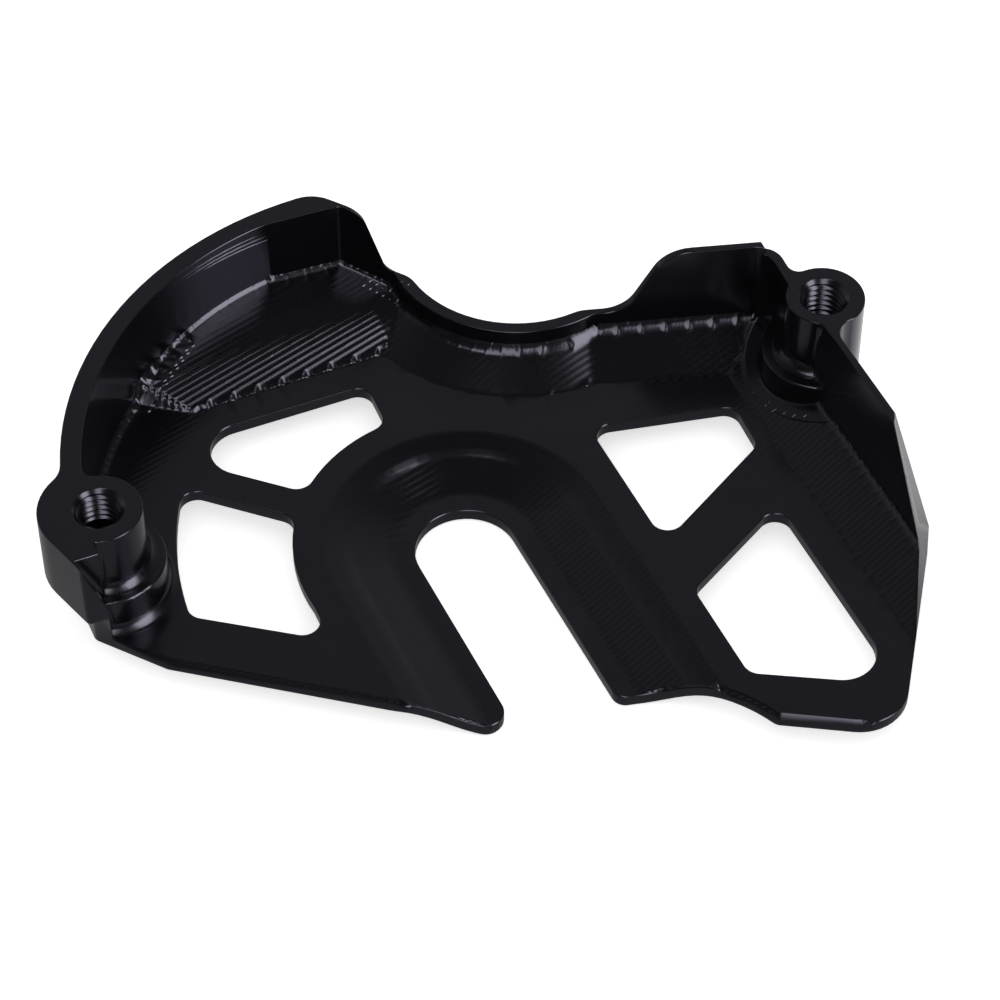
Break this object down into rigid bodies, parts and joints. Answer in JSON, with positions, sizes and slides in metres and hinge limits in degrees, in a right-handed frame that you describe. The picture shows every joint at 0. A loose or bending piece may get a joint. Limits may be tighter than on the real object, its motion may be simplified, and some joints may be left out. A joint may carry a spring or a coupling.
{
  "type": "motorcycle sprocket cover",
  "caption": "Black anodised milled aluminium cover for a motorcycle front sprocket, seen on its inner side, with threaded bosses, a dished floor and windows.",
  "frame": {"origin": "centre of the left threaded hole on the mounting plane", "axes": "+Z out of the bosses towards the engine, +X from the left threaded hole towards the right one"},
  "size_m": [0.1487, 0.1313, 0.0265],
  "materials": {
    "anodised_aluminium": "satin"
  },
  "bodies": {
    "root": {"sprocket_cover": "anodised_aluminium"}
  },
  "joints": []
}
